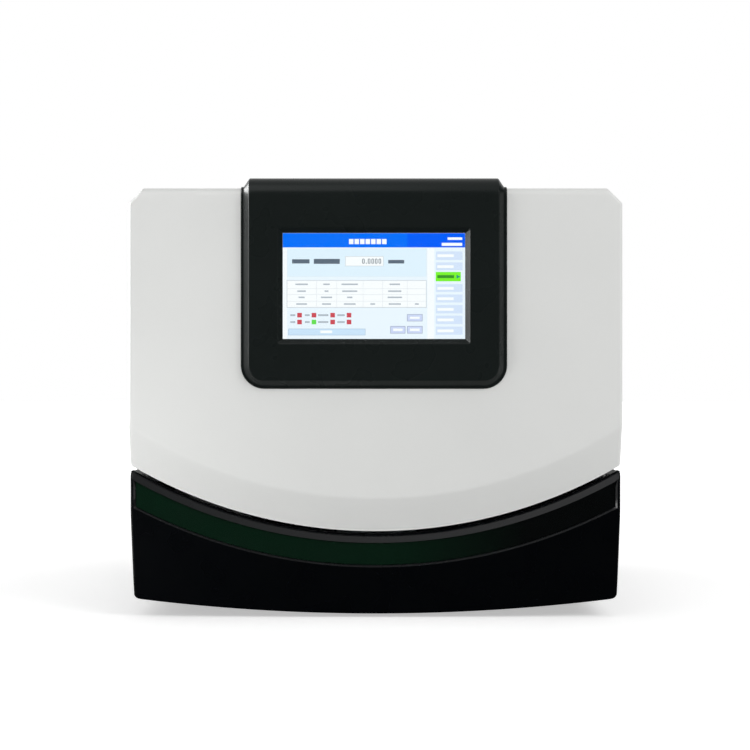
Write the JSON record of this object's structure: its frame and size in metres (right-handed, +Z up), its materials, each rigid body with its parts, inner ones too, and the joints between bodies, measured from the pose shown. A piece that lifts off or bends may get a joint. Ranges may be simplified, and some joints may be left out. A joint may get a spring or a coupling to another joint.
{
  "type": "total organic carbon analyzer",
  "caption": "Bench-top analyzer for organic carbon in water: white housing with curved black base, inset touch screen, hinged top lid, furnace, syringe pump and infrared bench inside.",
  "frame": {"origin": "on the bench under the middle of the instrument's bounding box", "axes": "+Z up, the screen faces -Y, +X to the right seen from the front"},
  "size_m": [0.42, 0.45, 0.3745],
  "materials": {
    "white_shell": "fine matte, moulded and powder coated",
    "black_moulding": "fine textured matte",
    "gloss_black": "high gloss",
    "touch_glass": "clear",
    "display": "lit screen",
    "sheet_steel": "zinc plated",
    "stainless": "turned",
    "aluminium": "milled",
    "rubber": "matte",
    "black_plastic": "satin",
    "white_plastic": "satin",
    "ceramic": "fibrous and dull",
    "quartz": "clear",
    "catalyst": "granular",
    "brass": "satin",
    "circuit_board": "solder mask",
    "tubing": "translucent"
  },
  "bodies": {
    "root": {"front_cover": "white_shell", "screen_bezel": "black_moulding", "touch_glass": "touch_glass", "lcd_module": "display", "display_bracket": "sheet_steel", "base_shell": "black_moulding", "gloss_strip": "gloss_black", "base_tray": "sheet_steel", "feet": "rubber", "left_panel": "white_shell", "right_panel": "white_shell", "rear_panel": "white_shell", "hinge_leaves_fixed": "stainless", "hinge_pins": "stainless", "fan_frame": "black_plastic", "fan_guard": "stainless", "power_inlet": "black_plastic", "gas_fittings": "brass", "liquid_fittings": "white_plastic", "serial_port": "stainless", "bulkhead": "sheet_steel", "furnace_stand": "sheet_steel", "furnace_jacket": "stainless", "furnace_insulation": "ceramic", "heater_sleeve": "ceramic", "combustion_tube": "quartz", "catalyst_bed": "catalyst", "injection_head": "stainless", "condenser": "aluminium", "gas_liquid_separator": "quartz", "peltier_cooler": "aluminium", "halogen_scrubber": "white_plastic", "dust_filter": "white_plastic", "bench_shelf": "sheet_steel", "ndir_bench": "aluminium", "pump_frame": "aluminium", "pump_motor": "black_plastic", "syringe_barrel": "quartz", "selector_valve_body": "white_plastic", "acid_bottle": "white_plastic", "bottle_cap": "black_plastic", "sparge_vessel": "quartz", "drain_pump_head": "black_plastic", "regulator_body": "brass", "power_supply": "sheet_steel", "main_board": "circuit_board", "gas_lines": "tubing"},
    "lid": {"top_lid": "white_shell", "hinge_leaves_lid": "stainless"},
    "fan": {"fan_impeller": "black_plastic"},
    "rocker": {"power_rocker": "black_plastic"},
    "drawer": {"fuse_drawer": "black_plastic"},
    "carriage": {"pump_carriage": "aluminium", "syringe_plunger": "white_plastic"},
    "screw": {"lead_screw": "stainless"},
    "valve": {"selector_valve_rotor": "stainless"},
    "drain_rotor": {"drain_pump_rotor": "stainless", "drain_pump_rollers": "white_plastic"},
    "knob": {"regulator_knob": "black_plastic"}
  },
  "joints": [
    {"name": "lid_hinge", "type": "hinge", "parent": "root", "child": "lid", "pos_m": [0, 0.204, 0.344], "axis": [-1, 0, 0], "range_deg": [0, 100]},
    {"name": "fan_spin", "type": "hinge", "parent": "root", "child": "fan", "pos_m": [0.11, 0.185, 0.255], "axis": [0, 1, 0], "continuous": true},
    {"name": "power_rock", "type": "hinge", "parent": "root", "child": "rocker", "pos_m": [0.15, 0.1975, 0.101], "axis": [-1, 0, 0], "range_deg": [0, 16]},
    {"name": "fuse_slide", "type": "slide", "parent": "root", "child": "drawer", "axis": [0, 1, 0], "range_m": [0, 0.018]},
    {"name": "plunger_slide", "type": "slide", "parent": "root", "child": "carriage", "axis": [0, 0, 1], "range_m": [0, 0.055]},
    {"name": "lead_screw_spin", "type": "hinge", "parent": "root", "child": "screw", "pos_m": [0.106, -0.08, 0.15], "axis": [0, 0, 1], "range_deg": [-2480, 0]},
    {"name": "valve_turn", "type": "hinge", "parent": "root", "child": "valve", "pos_m": [0.058, -0.1, 0.275], "axis": [0, 1, 0], "continuous": true},
    {"name": "drain_pump_spin", "type": "hinge", "parent": "root", "child": "drain_rotor", "pos_m": [0.163, -0.126, 0.072], "axis": [0, 1, 0], "continuous": true},
    {"name": "regulator_turn", "type": "hinge", "parent": "root", "child": "knob", "pos_m": [-0.042, 0.172, 0.25], "axis": [0, 0, 1], "range_deg": [0, 1080]}
  ],
  "couplings": [
    {"joint": "lead_screw_spin", "follows": "plunger_slide", "rad_per_m": -785.4}
  ]
}
